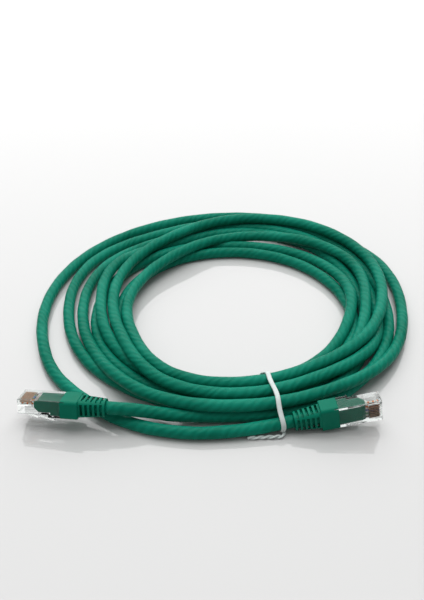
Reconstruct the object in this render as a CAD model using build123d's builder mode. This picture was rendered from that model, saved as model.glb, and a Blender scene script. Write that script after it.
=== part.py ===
from build123d import *
import math
import os

# Ethernet patch cable, coiled and tied, with a clear eight-way plug and a ribbed boot on each end.
# Millimetres. +Z is up, the cable lies on z = 0 and the origin is the middle of its footprint.
# Each plug has its own frame: x runs from its nose back along the cable, y across its width,
# z towards the face that holds the contacts, and the cable's axis is y = z = 0.

# ---- the cable -----------------------------------------------------------------------------------
CABLE_DIAMETER = 6.0
CABLE_RADIUS = CABLE_DIAMETER / 2

# The coil is a ring, wider on the left than on the right, two layers of cable high.
COIL_OUTER_CENTRE = (7.4, 1.3)
COIL_OUTER_RADIUS = 91.8
COIL_INNER_CENTRE = (6.3, -7.0)
COIL_INNER_RADIUS = 56.2
COIL_HEIGHT = 12.4
COIL_TOP_ROUNDING = 5.0
COIL_BOTTOM_ROUNDING = 2.5

# ---- where the two plugs lie ---------------------------------------------------------------------
PLUG_TO_BOOT_END = 39.5
LEFT_NOSE = Vector(-93.4, -84.3, 8.9)
LEFT_BOOT_END = Vector(-54.3, -89.66, 10.6)
LEFT_CONTACTS_FACE = Vector(0, 0.28, 0.96)
RIGHT_NOSE = Vector(68.85, -87.65, 10.9)
RIGHT_BOOT_END = Vector(30.089, -92.471, 5.018)
RIGHT_CONTACTS_FACE = Vector(0, -1, 0)

# ---- the loose stretches of cable, from each boot to where they join the coil ---------------------
STRAIGHT_RUN = 5.0  # how far the cable goes straight on from the end of its boot
LEFT_LEAD_ROUTE = [
    LEFT_BOOT_END,
    LEFT_BOOT_END + (LEFT_BOOT_END - LEFT_NOSE).normalized() * STRAIGHT_RUN,
    Vector(-38.5, -89.2, 9.0),
    Vector(-20.0, -87.0, 3.6),
    Vector(0.0, -87.4, 3.2),
]
RIGHT_LEAD_ROUTE = [
    RIGHT_BOOT_END,
    RIGHT_BOOT_END + (RIGHT_BOOT_END - RIGHT_NOSE).normalized() * STRAIGHT_RUN,
    Vector(8.0, -95.5, 3.4),
    Vector(-18.0, -98.6, 3.0),
    Vector(-45.0, -93.4, 3.0),
    Vector(-66.0, -77.5, 3.0),
    Vector(-85.0, -57.0, 3.0),
    Vector(-95.0, -30.0, 3.0),
    Vector(-98.3, -4.0, 3.0),
    Vector(-94.0, 23.0, 3.0),
    Vector(-82.0, 51.5, 3.0),
    Vector(-61.0, 77.0, 3.0),
    Vector(-33.0, 93.0, 3.0),
    Vector(-2.0, 99.3, 3.0),
    Vector(29.0, 96.5, 3.0),
    Vector(56.0, 82.5, 3.0),
    Vector(76.0, 62.0, 3.0),
]
ARC_SHARE = 0.45  # of the shorter run beside a corner, taken by the corner's arc

# ---- plug housing --------------------------------------------------------------------------------
PLUG_LENGTH = 21.5
PLUG_WIDTH = 11.68
CONTACTS_FACE_Z = 4.0
NOSE_UNDERSIDE_Z = -2.6
REAR_UNDERSIDE_Z = -4.0
UNDERSIDE_STEP_X = 14.0
LATCH_FOOT_LENGTH = 0.8
LATCH_FOOT_Z = -3.6
HOUSING_ROUNDING = 0.35
CAVITY_WIDTH = 8.4
CAVITY_CEILING_Z = 3.4
CAVITY_FLOOR_Z = -3.4
CAVITY_STEP_X = 14.6
CAVITY_STEP_Z = -2.0
CUT_OVERSHOOT = 1.0  # how far a cutting shape runs past the face that it starts from
CAVITY_PROFILE = [
    (PLUG_LENGTH + CUT_OVERSHOOT, CAVITY_FLOOR_Z),
    (CAVITY_STEP_X, CAVITY_FLOOR_Z),
    (CAVITY_STEP_X, CAVITY_STEP_Z),
    (9.2, CAVITY_STEP_Z),
    (6.0, 1.3),
    (1.0, 1.3),
    (1.0, 2.5),
    (7.0, 2.5),
    (9.0, CAVITY_CEILING_Z),
    (PLUG_LENGTH + CUT_OVERSHOOT, CAVITY_CEILING_Z),
]

# ---- contacts and conductors ---------------------------------------------------------------------
WAYS = 8
WAY_PITCH = 1.02
SLOT_WIDTH = 0.6
SLOT_LENGTH = 6.3
BLADE_THICKNESS = 0.35
BLADE_START_X = 0.75
BLADE_END_X = 5.75
BLADE_TOP_Z = 3.65
BLADE_SHOULDER_Z = 2.45
BLADE_CORNER = 0.4
TINE_TIP_Z = 1.6
TINE_POINT_HEIGHT = 0.3
TINE_WIDTH = 0.5
TINE_STARTS = [1.5, 3.0, 4.5]
WIRE_ROW_Z = 1.9
WIRE_DIAMETER = 0.98
COPPER_DIAMETER = 0.51
COPPER_CLEARANCE = 0.01
WIRE_START_X = 1.2
WIRE_END_X = 7.2
WIRE_NAMES = [
    "white_orange_wire", "orange_wire", "white_green_wire", "blue_wire",
    "white_blue_wire", "green_wire", "white_brown_wire", "brown_wire",
]

# ---- latch tab -----------------------------------------------------------------------------------
LATCH_HINGE_X = 1.3
LATCH_HINGE_Z = -3.1
LATCH_THICKNESS = 0.9
LATCH_LENGTH = 14.5
LATCH_SHOULDER_LENGTH = 7.4
LATCH_SHOULDER_WIDTH = 6.0
LATCH_LEVER_WIDTH = 3.2
LATCH_REST_ANGLE = 17.0

# ---- boot ----------------------------------------------------------------------------------------
BOOT_START_X = 19.4
BOOT_BODY_END_X = 27.6
BOOT_WIDTH = 12.4
BOOT_THICKNESS = 8.8
BOOT_CORNER = 1.6
BOOT_EDGE_ROUNDING = 0.5
TAIL_START_SIZE = (10.2, 8.2)
TAIL_START_CORNER = 2.2
TAIL_END_SIZE = (8.2, 7.8)
TAIL_END_CORNER = 3.4
RELIEF_SLOTS = 5
RELIEF_SLOT_LENGTH = 1.2
RELIEF_SLOT_PITCH = 2.2
RELIEF_FIRST_SLOT_X = 28.5
RELIEF_TOP_SLOT_WIDTH = 6.2
RELIEF_SIDE_SLOT_WIDTH = 5.6
RELIEF_SLOT_FROM_AXIS = 2.5
RELIEF_SLOT_DEPTH = 4.0
JACKET_END_X = 15.25
FIT_GAP = 0.05
FILL_END_X = 26.0
FILL_PROFILE = [
    (WIRE_END_X + FIT_GAP, 0.2),
    (9.25, CAVITY_STEP_Z + FIT_GAP),
    (CAVITY_STEP_X + FIT_GAP, CAVITY_STEP_Z + FIT_GAP),
    (CAVITY_STEP_X + FIT_GAP, CAVITY_FLOOR_Z + FIT_GAP),
    (FILL_END_X, CAVITY_FLOOR_Z + FIT_GAP),
    (FILL_END_X, CAVITY_CEILING_Z - FIT_GAP),
    (9.1, CAVITY_CEILING_Z - FIT_GAP),
    (WIRE_END_X + FIT_GAP, 2.45),
]

# ---- tie -----------------------------------------------------------------------------------------
TIE_CENTRE = (5.45, 0.25)
TIE_ANGLE = -78.6
TIE_WIDTH = 2.4
TIE_THICKNESS = 1.2
TIE_WIRE_DIAMETER = 0.5
TIE_BOTTOM = 0.65
TIE_TOP = 13.1
TIE_INNER = 62.45
TIE_OUTER = 99.3
TIE_LOOP = [
    (TIE_INNER, TIE_BOTTOM), (TIE_INNER, TIE_TOP), (89.5, TIE_TOP), (TIE_OUTER, 8.0),
    (TIE_OUTER, TIE_BOTTOM),
]
TIE_LOOP_RADII = [1.5, 4.0, 4.0, 5.0, 4.0]
TIE_CHANNEL_WIDTH = 2.8
TIE_CHANNEL_HEIGHT = 1.8
TIE_TWIST_START = Vector(25.9, -97.2, 1.15)
TIE_TWIST_END = Vector(9.0, -99.4, 1.15)
TIE_TWIST_DIAMETER = 2.2


def plug_frame(nose, boot_end, contacts_face):
    """The plug's own plane: x back along the cable, z as near to the contacts' direction as fits."""
    back = (boot_end - nose).normalized()
    out = (contacts_face - back * contacts_face.dot(back)).normalized()
    return Plane(origin=nose, x_dir=back, z_dir=out)


def across(plug, x):
    """A plane square to the cable, x behind the nose: its own x is the width, its own y the height."""
    return Plane(origin=plug.from_local_coords((x, 0, 0)), x_dir=plug.y_dir, z_dir=plug.x_dir)


def along(plug, y=0):
    """A plane along the cable, y across from its axis: its own x runs back, its own y is the height."""
    return Plane(origin=plug.from_local_coords((0, y, 0)), x_dir=plug.x_dir, z_dir=-plug.y_dir)


def way_offset(way):
    """How far across the plug a contact and its wire are."""
    return (way - (WAYS - 1) / 2) * WAY_PITCH


def corner_radii(route):
    """Each corner's arc, as large as the two runs beside it allow."""
    radii = []
    for before, corner, after in zip(route, route[1:], route[2:]):
        run_in, run_out = corner - before, after - corner
        half_turn = math.radians(run_in.get_angle(run_out)) / 2
        radii.append(ARC_SHARE * min(run_in.length, run_out.length) / math.tan(half_turn))
    return radii


def save(built, name):
    """Label a finished piece and write it to its own file."""
    built.part.label = name
    export_step(built.part, f"parts/{name}.step")


def make_lead(route, name):
    """A loose stretch of cable, as straight runs joined by tangent arcs."""
    radii = corner_radii(route)
    with BuildPart() as lead:
        with BuildLine() as path:
            FilletPolyline(*route, radius=radii)
        with BuildSketch(Plane(origin=path.line @ 0, z_dir=path.line % 0)):
            Circle(CABLE_RADIUS)
        sweep(path=path.line)
    length = path.wires()[0].length
    expected = math.pi * CABLE_RADIUS**2 * length
    print(name, "radii", [round(radius) for radius in radii], "length", round(length, 1))
    print(name, "volume over section times length", round(lead.part.volume / expected, 4))
    return lead


def make_coil():
    """The outer shape of all the turns together, with a channel under it for the tie."""
    with BuildPart() as coil:
        with BuildSketch():
            with Locations(COIL_OUTER_CENTRE):
                Circle(COIL_OUTER_RADIUS)
            with Locations(COIL_INNER_CENTRE):
                Circle(COIL_INNER_RADIUS, mode=Mode.SUBTRACT)
        extrude(amount=COIL_HEIGHT)
        fillet(coil.faces().sort_by(Axis.Z)[-1].edges(), COIL_TOP_ROUNDING)
        fillet(coil.faces().sort_by(Axis.Z)[0].edges(), COIL_BOTTOM_ROUNDING)
        channel_end = Plane(tie_plane().origin, x_dir=(0, 0, 1), z_dir=tie_plane().x_dir)
        with BuildSketch(channel_end):
            Rectangle(2 * TIE_CHANNEL_HEIGHT, TIE_CHANNEL_WIDTH)
        extrude(amount=TIE_OUTER, mode=Mode.SUBTRACT)
    return coil


def tie_plane():
    """The upright plane that the tie lies in: its own x runs outward, its own y is up."""
    angle = math.radians(TIE_ANGLE)
    outward = Vector(math.cos(angle), math.sin(angle), 0)
    return Plane(origin=TIE_CENTRE, x_dir=outward, z_dir=outward.cross(Vector(0, 0, 1)))


def make_tie_twist():
    """The tie's two ends, twisted together and folded flat beside the cable."""
    direction = TIE_TWIST_END - TIE_TWIST_START
    with BuildPart() as twist:
        with BuildSketch(Plane(origin=TIE_TWIST_START, z_dir=direction)):
            Circle(TIE_TWIST_DIAMETER / 2)
        extrude(amount=direction.length)
        fillet(twist.edges().filter_by(GeomType.CIRCLE), TIE_TWIST_DIAMETER / 4)
    return twist


def make_tie_sheath():
    """The plastic coating: a closed loop round the bundle, and its two ends twisted together."""
    twist = make_tie_twist()
    with BuildPart() as sheath:
        with BuildLine(tie_plane()) as loop:
            FilletPolyline(*TIE_LOOP, radius=TIE_LOOP_RADII, close=True)
        with BuildSketch(Plane(origin=loop.line @ 0, z_dir=loop.line % 0, x_dir=tie_plane().z_dir)):
            Ellipse(TIE_WIDTH / 2, TIE_THICKNESS / 2)
            Circle(TIE_WIRE_DIAMETER / 2 + COPPER_CLEARANCE, mode=Mode.SUBTRACT)
        sweep(path=loop.line)
        add(twist.part)
    return sheath


def make_tie_wire():
    """The soft steel wire inside the coating."""
    with BuildPart() as wire:
        with BuildLine(tie_plane()) as loop:
            FilletPolyline(*TIE_LOOP, radius=TIE_LOOP_RADII, close=True)
        with BuildSketch(Plane(origin=loop.line @ 0, z_dir=loop.line % 0, x_dir=tie_plane().z_dir)):
            Circle(TIE_WIRE_DIAMETER / 2)
        sweep(path=loop.line)
    return wire


def make_housing(plug):
    """The clear body: a hollow block with eight slots for the contacts and a foot for the latch."""
    with BuildPart() as housing:
        with BuildSketch(along(plug)):
            with BuildLine():
                Polyline(
                    (0, CONTACTS_FACE_Z),
                    (PLUG_LENGTH, CONTACTS_FACE_Z),
                    (PLUG_LENGTH, REAR_UNDERSIDE_Z),
                    (UNDERSIDE_STEP_X, REAR_UNDERSIDE_Z),
                    (UNDERSIDE_STEP_X, NOSE_UNDERSIDE_Z),
                    (0, NOSE_UNDERSIDE_Z),
                    close=True,
                )
            make_face()
        extrude(amount=PLUG_WIDTH / 2, both=True)
        fillet(housing.edges().filter_by(plug_axis(plug)), HOUSING_ROUNDING)
        with BuildSketch(along(plug)):
            with Locations((LATCH_FOOT_LENGTH / 2, (LATCH_FOOT_Z + NOSE_UNDERSIDE_Z) / 2)):
                Rectangle(LATCH_FOOT_LENGTH, NOSE_UNDERSIDE_Z - LATCH_FOOT_Z)
        extrude(amount=LATCH_SHOULDER_WIDTH / 2, both=True)
        with BuildSketch(along(plug)):
            with BuildLine():
                Polyline(*CAVITY_PROFILE, close=True)
            make_face()
        extrude(amount=CAVITY_WIDTH / 2, both=True, mode=Mode.SUBTRACT)
        slot_height = CONTACTS_FACE_Z - BLADE_SHOULDER_Z
        with BuildSketch(across(plug, 0)):
            for way in range(WAYS):
                with Locations((way_offset(way), BLADE_SHOULDER_Z + slot_height / 2)):
                    Rectangle(SLOT_WIDTH, slot_height)
        extrude(amount=SLOT_LENGTH, mode=Mode.SUBTRACT)
    return housing


def plug_axis(plug):
    """The direction along the plug, for choosing edges."""
    return Axis(plug.origin, plug.x_dir)


def make_contacts(plug):
    """Eight stamped blades: a rounded head that meets the jack, and three tines that pierce the wire."""
    with BuildPart() as contacts:
        for way in range(WAYS):
            with BuildSketch(along(plug, way_offset(way))) as blade:
                blade_length = BLADE_END_X - BLADE_START_X
                blade_height = BLADE_TOP_Z - BLADE_SHOULDER_Z
                middle = (BLADE_START_X + blade_length / 2, BLADE_SHOULDER_Z + blade_height / 2)
                with Locations(middle):
                    RectangleRounded(blade_length, blade_height, BLADE_CORNER)
                for start in TINE_STARTS:
                    with BuildLine():
                        Polyline(
                            (start, BLADE_SHOULDER_Z + BLADE_CORNER),
                            (start, TINE_TIP_Z + TINE_POINT_HEIGHT),
                            (start + TINE_WIDTH / 2, TINE_TIP_Z),
                            (start + TINE_WIDTH, TINE_TIP_Z + TINE_POINT_HEIGHT),
                            (start + TINE_WIDTH, BLADE_SHOULDER_Z + BLADE_CORNER),
                            close=True,
                        )
                    make_face()
            extrude(amount=BLADE_THICKNESS / 2, both=True)
    return contacts


def wire_path(plug, way):
    """A conductor's line: level under its contact, from near the nose to where the moulding starts."""
    with BuildLine(along(plug, way_offset(way))) as path:
        Line((WIRE_START_X, WIRE_ROW_Z), (WIRE_END_X, WIRE_ROW_Z))
    return path.line


def make_wire(plug, way, contacts):
    """One conductor's coloured insulation, cut where its contact's tines pierce it."""
    path = wire_path(plug, way)
    with BuildPart() as wire:
        with BuildSketch(Plane(origin=path @ 0, z_dir=path % 0)):
            Circle(WIRE_DIAMETER / 2)
            Circle(COPPER_DIAMETER / 2 + COPPER_CLEARANCE, mode=Mode.SUBTRACT)
        sweep(path=path)
        add(contacts.part, mode=Mode.SUBTRACT)
    return wire


def make_copper(plug, contacts):
    """The bare copper inside all eight conductors, cut where the tines pierce it."""
    with BuildPart() as copper:
        for way in range(WAYS):
            path = wire_path(plug, way)
            with BuildSketch(Plane(origin=path @ 0, z_dir=path % 0)):
                Circle(COPPER_DIAMETER / 2)
            sweep(path=path)
        add(contacts.part, mode=Mode.SUBTRACT)
    return copper


def make_latch(plug):
    """The springy tab under the nose: a barrel at its root, a wide shoulder, then a narrow lever."""
    angle = math.radians(-LATCH_REST_ANGLE)
    root = (LATCH_HINGE_X, LATCH_HINGE_Z)

    def arm(length):
        """The tab's profile as far as a length from its root."""
        middle = (
            root[0] + math.cos(angle) * length / 2,
            root[1] + math.sin(angle) * length / 2,
        )
        with Locations(Location((*middle, 0), (0, 0, -LATCH_REST_ANGLE))):
            Rectangle(length, LATCH_THICKNESS)
        with Locations(root):
            Circle(LATCH_THICKNESS / 2)

    with BuildPart() as latch:
        with BuildSketch(along(plug)):
            arm(LATCH_LENGTH)
        extrude(amount=LATCH_LEVER_WIDTH / 2, both=True)
        with BuildSketch(along(plug)):
            arm(LATCH_SHOULDER_LENGTH)
        extrude(amount=LATCH_SHOULDER_WIDTH / 2, both=True)
    return latch


def make_boot(plug):
    """The moulded boot: a block over the housing's rear, the filling inside it and a slotted tail."""
    with BuildPart() as boot:
        with BuildSketch(across(plug, BOOT_START_X)):
            RectangleRounded(BOOT_WIDTH, BOOT_THICKNESS, BOOT_CORNER)
        extrude(amount=BOOT_BODY_END_X - BOOT_START_X)
        fillet(boot.faces().sort_by(plug_axis(plug))[0].edges(), BOOT_EDGE_ROUNDING)
        fillet(boot.faces().sort_by(plug_axis(plug))[-1].edges(), BOOT_EDGE_ROUNDING)
        with BuildSketch(across(plug, BOOT_BODY_END_X - BOOT_EDGE_ROUNDING)):
            RectangleRounded(*TAIL_START_SIZE, TAIL_START_CORNER)
        with BuildSketch(across(plug, PLUG_TO_BOOT_END)):
            RectangleRounded(*TAIL_END_SIZE, TAIL_END_CORNER)
        loft()
        with BuildSketch(across(plug, BOOT_START_X - CUT_OVERSHOOT)):
            Rectangle(PLUG_WIDTH + 2 * FIT_GAP, CONTACTS_FACE_Z - REAR_UNDERSIDE_Z + 2 * FIT_GAP)
        extrude(amount=PLUG_LENGTH + FIT_GAP - BOOT_START_X + CUT_OVERSHOOT, mode=Mode.SUBTRACT)
        with BuildSketch(along(plug)):
            with BuildLine():
                Polyline(*FILL_PROFILE, close=True)
            make_face()
        extrude(amount=CAVITY_WIDTH / 2 - FIT_GAP, both=True)
        with BuildSketch(across(plug, JACKET_END_X - FIT_GAP)):
            Circle(CABLE_RADIUS + FIT_GAP)
        extrude(amount=PLUG_TO_BOOT_END, mode=Mode.SUBTRACT)
        slot_middle = RELIEF_SLOT_FROM_AXIS + RELIEF_SLOT_DEPTH / 2
        for slot in range(RELIEF_SLOTS):
            with BuildSketch(across(plug, RELIEF_FIRST_SLOT_X + slot * RELIEF_SLOT_PITCH)):
                with Locations((0, slot_middle), (0, -slot_middle)):
                    Rectangle(RELIEF_TOP_SLOT_WIDTH, RELIEF_SLOT_DEPTH)
                with Locations((slot_middle, 0), (-slot_middle, 0)):
                    Rectangle(RELIEF_SLOT_DEPTH, RELIEF_SIDE_SLOT_WIDTH)
            extrude(amount=RELIEF_SLOT_LENGTH, mode=Mode.SUBTRACT)
    return boot


def make_jacket_end(plug):
    """The last stretch of the cable's jacket, inside the boot and the housing."""
    with BuildPart() as jacket_end:
        with BuildSketch(across(plug, JACKET_END_X)):
            Circle(CABLE_RADIUS)
        extrude(amount=PLUG_TO_BOOT_END - JACKET_END_X)
    return jacket_end


def make_plug(plug, side):
    """Every piece of one plug, each saved as its own node."""
    contacts = make_contacts(plug)
    save(make_housing(plug), f"{side}_housing")
    save(contacts, f"{side}_contacts")
    for way, wire_name in enumerate(WIRE_NAMES):
        save(make_wire(plug, way, contacts), f"{side}_{wire_name}")
    save(make_copper(plug, contacts), f"{side}_copper_cores")
    save(make_latch(plug), f"{side}_latch_tab")
    save(make_boot(plug), f"{side}_boot")
    save(make_jacket_end(plug), f"{side}_jacket_end")
    hinge = plug.from_local_coords((LATCH_HINGE_X, 0, LATCH_HINGE_Z))
    nose_face = plug.from_local_coords((0, 0, 0))
    print(side, "latch hinge", hinge, "axis", plug.y_dir, "nose", nose_face, "outward", -plug.x_dir)


os.makedirs("parts", exist_ok=True)
left_plug = plug_frame(LEFT_NOSE, LEFT_BOOT_END, LEFT_CONTACTS_FACE)
right_plug = plug_frame(RIGHT_NOSE, RIGHT_BOOT_END, RIGHT_CONTACTS_FACE)
make_plug(left_plug, "left")
make_plug(right_plug, "right")
save(make_lead(LEFT_LEAD_ROUTE, "left_lead"), "left_lead")
save(make_lead(RIGHT_LEAD_ROUTE, "right_lead"), "right_lead")
save(make_coil(), "cable_coil")
save(make_tie_sheath(), "tie_sheath")
save(make_tie_wire(), "tie_wire")
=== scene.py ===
import bpy
import bmesh
import math
import numpy as np
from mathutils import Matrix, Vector


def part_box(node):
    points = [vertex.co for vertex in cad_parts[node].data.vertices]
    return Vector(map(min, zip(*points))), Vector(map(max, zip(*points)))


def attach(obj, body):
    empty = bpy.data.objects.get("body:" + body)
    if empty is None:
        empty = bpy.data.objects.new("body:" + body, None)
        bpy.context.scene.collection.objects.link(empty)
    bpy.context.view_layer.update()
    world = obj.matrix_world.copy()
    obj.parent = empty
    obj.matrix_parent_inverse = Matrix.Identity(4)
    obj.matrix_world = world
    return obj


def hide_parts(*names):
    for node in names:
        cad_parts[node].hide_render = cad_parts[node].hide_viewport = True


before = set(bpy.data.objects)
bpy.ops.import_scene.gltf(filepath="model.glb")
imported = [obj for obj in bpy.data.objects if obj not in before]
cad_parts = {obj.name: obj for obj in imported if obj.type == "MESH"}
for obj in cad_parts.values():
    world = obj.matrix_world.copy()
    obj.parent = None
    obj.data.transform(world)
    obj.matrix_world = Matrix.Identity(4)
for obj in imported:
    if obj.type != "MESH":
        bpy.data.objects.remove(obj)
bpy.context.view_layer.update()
MM = 0.001

# ---- camera --------------------------------------------------------------------------------------
camera_data = bpy.data.cameras.new("camera")
camera_data.sensor_fit = "VERTICAL"
camera_data.sensor_height = 36.0
camera_data.lens = 51.42
camera_data.clip_start = 0.01
camera_data.clip_end = 20.0
camera = bpy.data.objects.new("camera", camera_data)
camera.location = (-0.00685, -0.37725, 0.271)
camera.rotation_euler = (math.radians(55.0), 0.0, 0.0)
bpy.context.scene.collection.objects.link(camera)
bpy.context.scene.camera = camera

# ---- the cord ------------------------------------------------------------------------------------
CABLE = 6.0
COIL_MIDDLE = (6.5, -3.0)
# The two leads' own points, in millimetres: those of part.py, some of them moved a little.
LEFT_LEAD = [
    (-54.3, -89.66, 10.6), (-49.4, -90.3, 10.8), (-38.5, -89.2, 9.0), (-20.0, -87.0, 3.6),
]
RIGHT_LEAD = [
    (30.09, -92.47, 5.02), (25.2, -93.1, 4.4), (8.0, -96.9, 3.6), (-18.0, -99.0, 3.0),
    (-44.8, -92.6, 3.0), (-66.0, -77.3, 3.0), (-84.8, -56.8, 3.0), (-94.3, -29.6, 3.0),
    (-97.2, -4.0, 3.0), (-93.7, 22.9, 3.0), (-81.4, 51.0, 3.0), (-59.4, 74.8, 3.0),
    (-31.8, 90.3, 3.0), (-1.8, 97.3, 3.0), (29.0, 95.5, 3.0), (56.2, 82.5, 3.0),
    (76.0, 62.0, 3.0),
]
# How the rest is wound: each turn's distance from the coil's middle and height, every 30 degrees
# anticlockwise from the front. At a height near 3 the cable lies on the floor, and near 8 or 9 it
# lies on other turns.
FLOOR = 3.0
TURNS = [
    [(85.5, 3), (84.5, 3), (82, 3), (80, 3), (84, 3), (92.5, 3),
     (91.5, 3), (89.5, 3), (95, 3), (89.6, 3), (85.8, 3), (81.5, 3)],
    [(79.5, 3), (78, 3), (72, 3), (67.5, 3), (72, 3), (80.5, 3),
     (81.3, 3), (76, 3.5), (77.6, 8.2), (72.5, 8.4), (72.5, 8.2), (71, 5)],
    [(67.5, 3), (67, 3), (65.3, 3), (60.5, 3), (58.3, 3), (57.6, 3),
     (57.5, 3), (59, 3), (60.5, 3), (62.5, 3), (65, 3), (64, 3)],
    [(61.5, 3), (61, 3), (60.5, 4.2), (62, 8.5), (64.5, 6), (66, 3.5),
     (64, 3), (68, 3), (71.8, 3), (74, 3), (76.5, 3), (76, 3)],
    [(73.5, 3), (73, 3), (68.7, 6.5), (68.5, 8.4), (76.5, 8.4), (74.5, 7.5),
     (70, 5), (59, 7.5), (57, 7.5), (58.5, 7.5), (61, 8), (69.5, 8.4)],
    [(68.5, 9.3), (66, 9.3), (70, 9.3), (76.5, 9), (87, 8.8), (92, 8.4),
     (87, 9), (75.5, 9.2), (70.2, 8.6), (66, 8.2), (66.5, 8.2), (76, 8.6)],
    [(75.6, 9.2), (73, 9.2), (75, 6), (73.5, 3), (78, 3), (87, 3),
     (86.5, 3), (82, 3), (86, 3), (82.3, 3), (82, 3.5), (87.4, 8)],
    [(84, 9), (83, 8.8), (85, 4.6), (87.5, 3), (95, 3)],
]
STATIONS = 12
PER_STATION = 2
FRONT = math.radians(270.0)
TIE_ANGLE = math.radians(280.5)
TIE_SEAT = 0.95  # how far the tie under them lifts the turns, in millimetres
TIE_SEAT_REACH = 16.0
CLEARANCE = 6.08
ROUNDS = 260
SINK = 0.03  # how far each round of settling lets the turns sink, in millimetres
HOLD = 0.97  # the share of its drift from the table that a point keeps each round
OWN_STRETCH = 6  # a point isn't pushed away from this many of its own neighbours


def smooth_between(a, b, c, d, t):
    """A value part of the way from b to c, in one smooth line with their neighbours."""
    return b + 0.5 * t * (c - a + t * (2 * a - 5 * b + 4 * c - d + t * (3 * (b - c) + d - a)))


def wind():
    """The coil's turns: one loop round the middle, its distance and height from the table."""
    table = [pair for turn in TURNS for pair in turn]
    step = 2 * math.pi / (STATIONS * PER_STATION)
    shrink = 0.75 + 0.25 * math.cos(step)
    points = []
    for k in range((len(table) - 1) * PER_STATION + 1):
        i, part = divmod(k, PER_STATION)
        near = [table[min(max(i + n, 0), len(table) - 1)] for n in (-1, 0, 1, 2)]
        r, z = (smooth_between(*[p[c] for p in near], part / PER_STATION) for c in (0, 1))
        angle = FRONT + k * step
        x = COIL_MIDDLE[0] + r / shrink * math.cos(angle)
        y = COIL_MIDDLE[1] + r / shrink * math.sin(angle)
        points.append((x, y, z))
    return points


def floor_under(points):
    """The lowest that the cable's centre may lie: on the floor, or on the tie where that passes."""
    way = points[:, :2] - np.array(COIL_MIDDLE)
    off = -way[:, 0] * math.sin(TIE_ANGLE) + way[:, 1] * math.cos(TIE_ANGLE)
    front = way[:, 1] < 0
    return FLOOR + TIE_SEAT * front * np.exp(-((off / TIE_SEAT_REACH) ** 2))


def settle(points, held):
    """Moves turns apart where they'd lie in each other, keeps them on the floor, and smooths."""
    wanted = np.array(points, float)
    p = wanted.copy()
    n = len(p)
    free = np.ones(n)
    free[list(held)] = 0.0
    index = np.arange(n)
    apart = np.abs(index[:, None] - index[None, :-1]) > OWN_STRETCH
    for _ in range(ROUNDS):
        start, run = p[:-1], p[1:] - p[:-1]
        length2 = (run**2).sum(1)
        rel = p[:, None, :] - start[None]
        t = np.clip((rel * run[None]).sum(2) / length2[None], 0, 1)
        gap = rel - t[..., None] * run[None]
        dist = np.sqrt((gap**2).sum(2))
        near = apart & (dist < CLEARANCE)
        i, j = np.nonzero(near)
        push = gap[i, j] / np.maximum(dist[i, j], 0.5)[:, None] * (CLEARANCE - dist[i, j])[:, None]
        move = np.zeros_like(p)
        count = np.ones(n)
        np.add.at(move, i, 0.5 * push)
        np.add.at(count, i, 0.5)
        weight = t[i, j][:, None]
        np.add.at(move, j, -0.5 * push * (1 - weight))
        np.add.at(move, j + 1, -0.5 * push * weight)
        np.add.at(count, j, 0.25)
        np.add.at(count, j + 1, 0.25)
        p += free[:, None] * move / count[:, None]
        drift = p - wanted
        even = drift.copy()
        even[1:-1] = 0.25 * drift[:-2] + 0.5 * drift[1:-1] + 0.25 * drift[2:]
        drift = 0.6 * drift + 0.4 * even
        p = wanted + free[:, None] * HOLD * drift
        p[:, 2] -= SINK * free
        p[:, 2] = np.where(free > 0, np.maximum(p[:, 2], floor_under(p)), p[:, 2])
    return p


def cord_points():
    """Every control point of the cord, from the left boot to the right one, in millimetres.

    The two points at each end stay put, so that the cord leaves each boot straight."""
    points = LEFT_LEAD + wind()[1:] + RIGHT_LEAD[::-1]
    return settle(points, [0, 1, len(points) - 2, len(points) - 1])


def nurbs_line(name, points):
    """A curve whose control points are the given ones, in metres."""
    data = bpy.data.curves.new(name, "CURVE")
    data.dimensions = "3D"
    data.resolution_u = 8
    spline = data.splines.new("NURBS")
    spline.points.add(len(points) - 1)
    for point, (x, y, z) in zip(spline.points, points):
        point.co = (x * MM, y * MM, z * MM, 1.0)
    spline.order_u = 3
    spline.use_endpoint_u = True
    return bpy.data.objects.new(name, data)


def read_line(curve):
    """The points that the curve itself passes through, as an array in metres."""
    bpy.context.scene.collection.objects.link(curve)
    bpy.context.view_layer.update()
    mesh = bpy.data.meshes.new_from_object(curve)
    line = np.array([v.co[:] for v in mesh.vertices])
    bpy.data.objects.remove(curve)
    bpy.data.meshes.remove(mesh)
    return line


def frames_along(line):
    """At each point of a line, its direction and two directions square to it that never spin."""
    ahead = np.gradient(line, axis=0)
    ahead /= np.linalg.norm(ahead, axis=1)[:, None]
    side = np.cross(ahead[0], (0.0, 0.0, 1.0))
    sides = []
    for direction in ahead:
        side = side - direction * side.dot(direction)
        side /= np.linalg.norm(side)
        sides.append(side.copy())
    sides = np.array(sides)
    return ahead, sides, np.cross(sides, ahead)


def distance_along(line):
    """How far along a line each of its points is."""
    return np.concatenate([[0.0], np.cumsum(np.linalg.norm(np.diff(line, axis=0), axis=1))])


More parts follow.
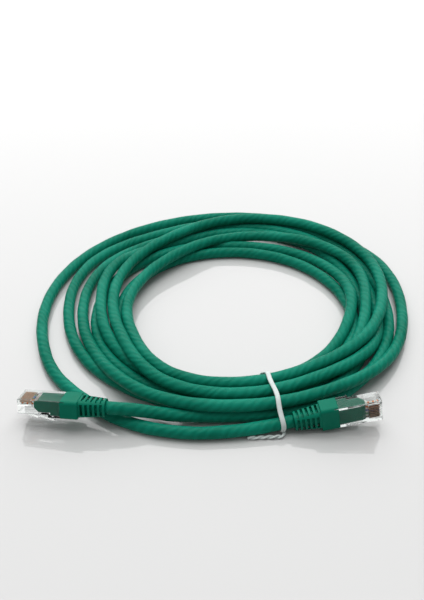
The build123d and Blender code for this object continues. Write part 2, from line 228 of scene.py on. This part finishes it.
def tube(name, line, radius_at, around):
    """A closed tube along a line, and its length.

    radius_at gives the radius from the distance along and the angle."""
    _, sides, ups = frames_along(line)
    along = distance_along(line)
    mesh = bpy.data.meshes.new(name)
    angles = np.arange(around) * 2 * math.pi / around
    verts, faces = [], []
    for k, point in enumerate(line):
        for a in angles:
            r = radius_at(along[k], a)
            verts.append(point + r * (math.cos(a) * sides[k] + math.sin(a) * ups[k]))
    for k in range(len(line) - 1):
        for a in range(around):
            b = (a + 1) % around
            faces.append((k * around + a, k * around + b,
                          (k + 1) * around + b, (k + 1) * around + a))
    faces.append(tuple(range(around))[::-1])
    faces.append(tuple((len(line) - 1) * around + a for a in range(around)))
    mesh.from_pydata([tuple(v) for v in verts], [], faces)
    mesh.update()
    for polygon in mesh.polygons:
        polygon.use_smooth = len(polygon.vertices) == 4
    obj = bpy.data.objects.new(name, mesh)
    bpy.context.scene.collection.objects.link(obj)
    bm = bmesh.new()
    bm.from_mesh(mesh)
    bmesh.ops.recalc_face_normals(bm, faces=bm.faces)
    round_and_along = bm.loops.layers.uv.new("round_and_along")
    for face in bm.faces:
        places = [loop.vert.index % around for loop in face.loops]
        wraps = max(places) - min(places) > around / 2
        for loop, place in zip(face.loops, places):
            turn = 1.0 if wraps and place == 0 else place / around
            loop[round_and_along].uv = (turn, along[loop.vert.index // around])
    bm.to_mesh(mesh)
    bm.free()
    return obj, along[-1]


CORD_AROUND = 24
LAY_LENGTH = 0.034
SWELL = 0.00006
DRIFT = 0.00002
ROUNDNESS = 0.99


def jacket_radius(along, angle):
    """The jacket isn't quite round: it follows the twisted pairs inside it."""
    swell = math.cos(2 * (angle - 2 * math.pi * along / LAY_LENGTH))
    drift = math.sin(along * 61.0) + math.sin(along * 23.0 + 1.3)
    return CABLE / 2 * MM * ROUNDNESS + SWELL * swell + DRIFT * drift


cord_line = read_line(nurbs_line("cord_line", cord_points()))
cord, cord_length = tube("patch_cord", cord_line, jacket_radius, CORD_AROUND)
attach(cord, "root")
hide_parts("cable_coil", "left_lead", "right_lead")


# ---- the tie -------------------------------------------------------------------------------------
TIE_FROM = (5.45, 0.25)
TIE_WAY = math.radians(-78.6)
TIE_THICK = 1.0
TIE_WIDE = 2.3
TIE_SLACK = 0.05
TIE_POINTS = 96
LEAN = 0.25  # how far the band wanders sideways, in millimetres
LEAN_STEP = 0.31
CORE_RADIUS = 0.25
TAIL = [(25.4, -95.2, 1.2), (25.6, -97.8, 1.1), (22.0, -98.4, 1.1), (17.0, -98.5, 1.0),
        (9.0, -99.2, 1.1)]
TWIST_LENGTH = 0.0075
TWIST_RADIUS = 0.00045
TAIL_AROUND = 10


def hull(points):
    """The convex outline of flat points, anticlockwise."""
    points = sorted(points)

    def half(ordered):
        chain = []
        for p in ordered:
            while len(chain) > 1 and ((chain[-1][0] - chain[-2][0]) * (p[1] - chain[-2][1])
                                      - (chain[-1][1] - chain[-2][1]) * (p[0] - chain[-2][0])) <= 0:
                chain.pop()
            chain.append(p)
        return chain[:-1]
    return half(points) + half(points[::-1])


def tie_outline():
    """Where the tie runs round the turns that pass through it: outward and up, in millimetres."""
    outward = np.array([math.cos(TIE_WAY), math.sin(TIE_WAY)])
    sideways = np.array([-outward[1], outward[0]])
    rel = cord_line[:, :2] / MM - np.array(TIE_FROM)
    off, out = rel @ sideways, rel @ outward
    reach = CABLE / 2 + TIE_THICK / 2 + TIE_SLACK
    ring = []
    for k in np.nonzero((off[:-1] * off[1:] <= 0) & (out[:-1] > 0))[0]:
        share = off[k] / (off[k] - off[k + 1])
        middle = (1 - share) * out[k] + share * out[k + 1]
        height = ((1 - share) * cord_line[k, 2] + share * cord_line[k + 1, 2]) / MM
        for a in range(24):
            angle = a * math.pi / 12
            ring.append((middle + reach * math.cos(angle),
                         max(height + reach * math.sin(angle), TIE_THICK / 2)))
    return hull(ring), outward


def even_loop(corners, count):
    """Points spread evenly along a closed outline."""
    corners = np.array(corners + corners[:1])
    far = distance_along(corners)
    at = np.arange(count) * far[-1] / count
    return np.stack([np.interp(at, far, corners[:, c]) for c in (0, 1)], axis=1)


def loop_mesh(name, outline, outward, section, smooth):
    """A solid hoop: the section, as thick and wide offsets, carried round the tie's outline."""
    sideways = np.array([-outward[1], outward[0], 0.0])
    bm = bmesh.new()
    rings = []
    for k, (out, up) in enumerate(outline):
        before, after = outline[k - 1], outline[(k + 1) % len(outline)]
        ahead = (after - before) / np.linalg.norm(after - before)
        square = np.array([ahead[1], -ahead[0]])
        lean = LEAN * math.sin(k * LEAN_STEP)
        ring = []
        for thick, wide in section:
            reach, height = np.array([out, up]) + square * thick
            flat = np.array(TIE_FROM) + outward * reach
            point = np.array([flat[0], flat[1], max(height, TIE_SLACK)])
            ring.append(bm.verts.new([c * MM for c in point + sideways * (wide + lean)]))
        rings.append(ring)
    for k, ring in enumerate(rings):
        following = rings[(k + 1) % len(rings)]
        for a in range(len(section)):
            b = (a + 1) % len(section)
            bm.faces.new((ring[a], ring[b], following[b], following[a]))
    bmesh.ops.recalc_face_normals(bm, faces=bm.faces)
    mesh = bpy.data.meshes.new(name)
    bm.to_mesh(mesh)
    bm.free()
    for polygon in mesh.polygons:
        polygon.use_smooth = smooth
    obj = bpy.data.objects.new(name, mesh)
    bpy.context.scene.collection.objects.link(obj)
    return obj


def band_section():
    """The band's section: a rectangle with well rounded corners."""
    section = []
    for a in range(12):
        angle = a * math.pi / 6
        c, s = math.cos(angle), math.sin(angle)
        section.append((TIE_THICK / 2 * math.copysign(abs(c) ** 0.7, c),
                        TIE_WIDE / 2 * math.copysign(abs(s) ** 0.7, s)))
    return section


def core_section():
    """The soft steel wire's round section."""
    angles = [a * math.pi / 4 for a in range(8)]
    return [(CORE_RADIUS * math.cos(a), CORE_RADIUS * math.sin(a)) for a in angles]


def make_tie():
    """A flat plastic band round the bundle, its two ends twisted together, and its wire."""
    outline, outward = tie_outline()
    outline = even_loop(outline, TIE_POINTS)
    for _ in range(3):
        outline = 0.5 * outline + 0.25 * np.roll(outline, 1, 0) + 0.25 * np.roll(outline, -1, 0)
    band = loop_mesh("tie_band", outline, outward, band_section(), True)
    core = loop_mesh("tie_core", outline, outward, core_section(), False)
    line = read_line(nurbs_line("tail_line", TAIL))
    _, sides, ups = frames_along(line)
    pieces = [band]
    for half in (0, 1):
        turn = distance_along(line) / TWIST_LENGTH * 2 * math.pi + half * math.pi
        round_it = np.cos(turn)[:, None] * sides + np.sin(turn)[:, None] * ups
        strand = line + TWIST_RADIUS * round_it
        pieces.append(tube(f"tie_end_{half + 1}", strand, tie_end_radius, TAIL_AROUND)[0])
    return pieces, core


def tie_end_radius(along, angle):
    """Each twisted end is a flattened ribbon."""
    return (0.42 + 0.12 * math.cos(2 * angle)) * MM


tie_pieces, tie_core = make_tie()
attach(tie_core, "root")
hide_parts("tie_wire")
for piece in tie_pieces:
    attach(piece, "root")
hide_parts("tie_sheath")


# ---- materials -----------------------------------------------------------------------------------
def srgb(r, g, b):
    """A colour given in 0 to 255 display values."""
    def linear(c):
        c /= 255
        return c / 12.92 if c <= 0.04045 else ((c + 0.055) / 1.055) ** 2.4
    return (linear(r), linear(g), linear(b), 1.0)


def new_material(name):
    """A new node material, its node tree and its shader."""
    material = bpy.data.materials.new(name)
    material.use_nodes = True
    tree = material.node_tree
    shader = tree.nodes["Principled BSDF"]
    return material, tree, shader


def noise(tree, scale, detail=3.0, roughness=0.5, stretch=(1, 1, 1)):
    """A noise texture in the object's own coordinates."""
    place = tree.nodes.new("ShaderNodeTexCoord")
    mapping = tree.nodes.new("ShaderNodeMapping")
    mapping.inputs["Scale"].default_value = stretch
    node = tree.nodes.new("ShaderNodeTexNoise")
    node.inputs["Scale"].default_value = scale
    node.inputs["Detail"].default_value = detail
    node.inputs["Roughness"].default_value = roughness
    tree.links.new(place.outputs["Object"], mapping.inputs["Vector"])
    tree.links.new(mapping.outputs["Vector"], node.inputs["Vector"])
    return node


def ramp(tree, source, stops):
    """A colour ramp on the given output."""
    node = tree.nodes.new("ShaderNodeValToRGB")
    elements = node.color_ramp.elements
    while len(elements) < len(stops):
        elements.new(0.5)
    for element, (position, colour) in zip(elements, stops):
        element.position = position
        element.color = colour
    tree.links.new(source, node.inputs["Fac"])
    return node


def grey(v):
    """A ramp colour that stands for a plain number."""
    return (v, v, v, 1.0)


def add_bump(tree, height, strength, distance, below=None):
    """A bump of the surface by a height output, over another bump where there is one."""
    lift = tree.nodes.new("ShaderNodeBump")
    lift.inputs["Strength"].default_value = strength
    lift.inputs["Distance"].default_value = distance
    tree.links.new(height, lift.inputs["Height"])
    if below:
        tree.links.new(below, lift.inputs["Normal"])
    tree.links.new(lift.outputs["Normal"], tree.nodes["Principled BSDF"].inputs["Normal"])


FINE = 0.0001
RIDGE_HEIGHT = 0.0002


def plastic(name, dark, light, roughness, scale, bump, bump_scale, specular=0.5):
    """Moulded or extruded plastic: uneven colour, uneven gloss and a fine surface grain."""
    material, tree, shader = new_material(name)
    cloud = noise(tree, scale)
    colour = ramp(tree, cloud.outputs["Fac"], [(0.3, dark), (0.7, light)])
    tree.links.new(colour.outputs["Color"], shader.inputs["Base Color"])
    gloss = noise(tree, scale * 3.1, 4.0)
    gloss_ramp = ramp(tree, gloss.outputs["Fac"],
                      [(0.3, grey(roughness - 0.05)), (0.7, grey(roughness + 0.06))])
    tree.links.new(gloss_ramp.outputs["Color"], shader.inputs["Roughness"])
    grain = noise(tree, bump_scale, 3.0)
    add_bump(tree, grain.outputs["Fac"], bump, FINE)
    shader.inputs["Specular IOR Level"].default_value = specular
    return material


def add_ridges(material):
    """Faint helical ridges where the twisted pairs press on the jacket, from the tube's own map,
    with painted highlight on their crests and painted shade in their troughs.
    """
    tree = material.node_tree
    shader = tree.nodes["Principled BSDF"]
    grain_bump = shader.inputs["Normal"].links[0].from_node
    place = tree.nodes.new("ShaderNodeUVMap")
    place.uv_map = "round_and_along"
    split = tree.nodes.new("ShaderNodeSeparateXYZ")
    tree.links.new(place.outputs["UV"], split.inputs["Vector"])
    wobble = noise(tree, 110.0, 3.0)

    def math_node(operation, a, b=None):
        node = tree.nodes.new("ShaderNodeMath")
        node.operation = operation
        for socket, value in zip(node.inputs, (a, b)):
            if isinstance(value, float):
                socket.default_value = value
            elif value is not None:
                tree.links.new(value, socket)
        return node.outputs[0]

    turns = math_node("MULTIPLY", split.outputs["X"], RIDGES * 2 * math.pi)
    run = math_node("MULTIPLY", split.outputs["Y"], 2 * math.pi / RIDGE_PITCH)
    stray = math_node("MULTIPLY", wobble.outputs["Fac"], RIDGE_WOBBLE)
    phase = math_node("ADD", math_node("SUBTRACT", turns, run), stray)
    wave = math_node("SINE", phase)
    add_bump(tree, wave, RIDGE_STRENGTH, RIDGE_HEIGHT, grain_bump.outputs["Normal"])
    shading = shader.inputs["Base Color"].links[0].from_node
    cloud = shading.inputs["Fac"].links[0].from_socket
    # Painted highlight and shade: the colour is lightened on the ridges' crests and darkened in
    # their troughs.
    painted_ridge_shade = math_node("MULTIPLY", wave, RIDGE_SHADING)
    tree.links.new(math_node("ADD", cloud, painted_ridge_shade), shading.inputs["Fac"])
    return material


def clear_plastic():
    """Clear polycarbonate with faint flow lines from moulding."""
    material, tree, shader = new_material("clear_plastic")
    shader.inputs["Transmission Weight"].default_value = 1.0
    shader.inputs["IOR"].default_value = 1.27
    shader.inputs["Specular IOR Level"].default_value = 0.12
    cloud = noise(tree, 220.0)
    tint = ramp(tree, cloud.outputs["Fac"],
                [(0.3, srgb(244, 249, 247)), (0.7, srgb(253, 254, 253))])
    tree.links.new(tint.outputs["Color"], shader.inputs["Base Color"])
    flow = noise(tree, 500.0, 2.0, 0.5, (0.2, 1, 1))
    gloss = ramp(tree, flow.outputs["Fac"], [(0.35, grey(0.03)), (0.7, grey(0.12))])
    tree.links.new(gloss.outputs["Color"], shader.inputs["Roughness"])
    add_bump(tree, flow.outputs["Fac"], 0.15, FINE)
    return material


def metal(name, dark, light, roughness, metallic=1.0):
    """Plated or drawn metal with fine scuffs."""
    material, tree, shader = new_material(name)
    shader.inputs["Metallic"].default_value = metallic
    cloud = noise(tree, 900.0, 4.0)
    colour = ramp(tree, cloud.outputs["Fac"], [(0.3, dark), (0.7, light)])
    tree.links.new(colour.outputs["Color"], shader.inputs["Base Color"])
    gloss = ramp(tree, cloud.outputs["Fac"],
                 [(0.3, grey(roughness - 0.08)), (0.7, grey(roughness + 0.1))])
    tree.links.new(gloss.outputs["Color"], shader.inputs["Roughness"])
    return material


def insulation(name, base, stripe=None, direction=(1, 0, 0)):
    """A conductor's thin insulation, plain or ringed with its pair's colour."""
    dark = tuple(c * 0.85 for c in base[:3]) + (1.0,)
    material = plastic(name, dark, base, 0.35, 700.0, 0.1, 4000.0)
    if stripe:
        tree = material.node_tree
        shader = tree.nodes["Principled BSDF"]
        place = tree.nodes.new("ShaderNodeTexCoord")
        dot = tree.nodes.new("ShaderNodeVectorMath")
        dot.operation = "DOT_PRODUCT"
        dot.inputs[1].default_value = direction
        tree.links.new(place.outputs["Object"], dot.inputs[0])
        repeat = tree.nodes.new("ShaderNodeMath")
        repeat.operation = "PINGPONG"
        repeat.inputs[1].default_value = RING_HALF_PITCH
        tree.links.new(dot.outputs["Value"], repeat.inputs[0])
        share = tree.nodes.new("ShaderNodeMath")
        share.operation = "MULTIPLY"
        share.inputs[1].default_value = 1 / RING_HALF_PITCH
        tree.links.new(repeat.outputs[0], share.inputs[0])
        rings = ramp(tree, share.outputs[0], [(0.55, base), (0.65, stripe)])
        tree.links.new(rings.outputs["Color"], shader.inputs["Base Color"])
    return material


RING_HALF_PITCH = 0.0011
RIDGES = 4.0
RIDGE_PITCH = 0.0046
RIDGE_STRENGTH = 0.36
RIDGE_WOBBLE = 13.0
# How strongly the ridges' painted highlight and shade change the jacket's colour.
RIDGE_SHADING = 0.07
JACKET = add_ridges(plastic("green_jacket", srgb(6, 106, 84), srgb(20, 132, 109), 0.36, 38.0, 0.15,
                            1900.0, specular=0.05))
PLAIN_JACKET = plastic("green_jacket_end", srgb(2, 118, 94), srgb(14, 132, 108), 0.36, 38.0, 0.15,
                       1900.0, specular=0.07)
BOOT = plastic("green_boot", srgb(2, 108, 85), srgb(12, 122, 98), 0.38, 60.0, 0.15, 3200.0,
               specular=0.07)
WHITE = plastic("white_tie", srgb(196, 206, 203), srgb(216, 224, 222), 0.4, 160.0, 0.1,
                2500.0, specular=0.3)
STEEL = metal("tie_wire", srgb(120, 122, 124), srgb(165, 167, 170), 0.35)
# The contacts' gold is paled towards pink and white as a painted reflection of the bright light on
# them.
GOLD_WITH_PAINTED_SHEEN = metal("gold_contacts", srgb(214, 176, 150), srgb(240, 208, 186), 0.42, 0.35)
COPPER = metal("copper", srgb(176, 98, 62), srgb(206, 128, 86), 0.35)
CLEAR = clear_plastic()
PAIRS = {
    "orange": srgb(226, 112, 34), "green": srgb(32, 128, 66),
    "blue": srgb(38, 84, 164), "brown": srgb(108, 66, 40),
}
PALE = srgb(232, 230, 222)


def dress(node, material):
    """Gives a CAD node its finished material."""
    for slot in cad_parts[node].material_slots:
        slot.material = material


def middle_of(node):
    """Twice the middle of a node's box, which is enough to tell a direction."""
    low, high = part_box(node)[:2]
    return Vector(low) + Vector(high)


for side in ("left", "right"):
    back = (middle_of(side + "_boot") - middle_of(side + "_contacts")).normalized()
    for colour, paint in PAIRS.items():
        dress(f"{side}_{colour}_wire", insulation(f"{side}_{colour}", paint))
        dress(f"{side}_white_{colour}_wire",
              insulation(f"{side}_white_{colour}", PALE, paint, tuple(back)))
    dress(side + "_housing", CLEAR)
    dress(side + "_latch_tab", CLEAR)
    dress(side + "_contacts", GOLD_WITH_PAINTED_SHEEN)
    dress(side + "_copper_cores", COPPER)
    dress(side + "_boot", BOOT)
    dress(side + "_jacket_end", PLAIN_JACKET)
for piece in tie_pieces:
    piece.data.materials.append(WHITE)
tie_core.data.materials.append(STEEL)
cord.data.materials.append(JACKET)


# ---- stage ---------------------------------------------------------------------------------------
def floor_material():
    """A clean pale studio surface with a gloss."""
    material, _, shader = new_material("floor")
    shader.inputs["Base Color"].default_value = (0.60, 0.60, 0.598, 1.0)
    shader.inputs["Roughness"].default_value = 0.06
    shader.inputs["IOR"].default_value = 1.7
    return material


FAR = 4
floor_mesh = bpy.data.meshes.new("floor")
floor_mesh.from_pydata([(-FAR, -FAR, 0), (FAR, -FAR, 0), (FAR, FAR, 0), (-FAR, FAR, 0)], [],
                       [(0, 1, 2, 3)])
floor = bpy.data.objects.new("floor", floor_mesh)
bpy.context.scene.collection.objects.link(floor)
floor.data.materials.append(floor_material())


def area_light(name, place, size, energy):
    """A soft rectangular light that faces the object."""
    data = bpy.data.lights.new(name, "AREA")
    data.shape = "RECTANGLE"
    data.size, data.size_y = size
    data.energy = energy
    light = bpy.data.objects.new(name, data)
    light.location = place
    light.rotation_euler = (Vector((0, 0, 0)) - Vector(place)).to_track_quat("-Z", "Y").to_euler()
    bpy.context.scene.collection.objects.link(light)
    return light


area_light("overhead", (0.0, 0.1, 1.2), (1.0, 0.8), 7.0)
area_light("back", (0.0, 1.5, 1.45), (3.4, 2.8), 20.0)
# The rest of the back light is hidden from rays that leave the clear plastic, or it burns out.
back_fill = area_light("back_fill", (0.0, 1.53, 1.48), (3.47, 2.86), 33.0)
back_fill.visible_transmission = False
area_light("left", (-1.1, -0.3, 0.8), (0.8, 0.8), 1.5)

world = bpy.data.worlds.new("world")
world.use_nodes = True
world.node_tree.nodes["Background"].inputs["Color"].default_value = (1, 1, 1, 1)
world.node_tree.nodes["Background"].inputs["Strength"].default_value = 0.32
bpy.context.scene.world = world
bpy.context.scene.view_settings.view_transform = "Standard"
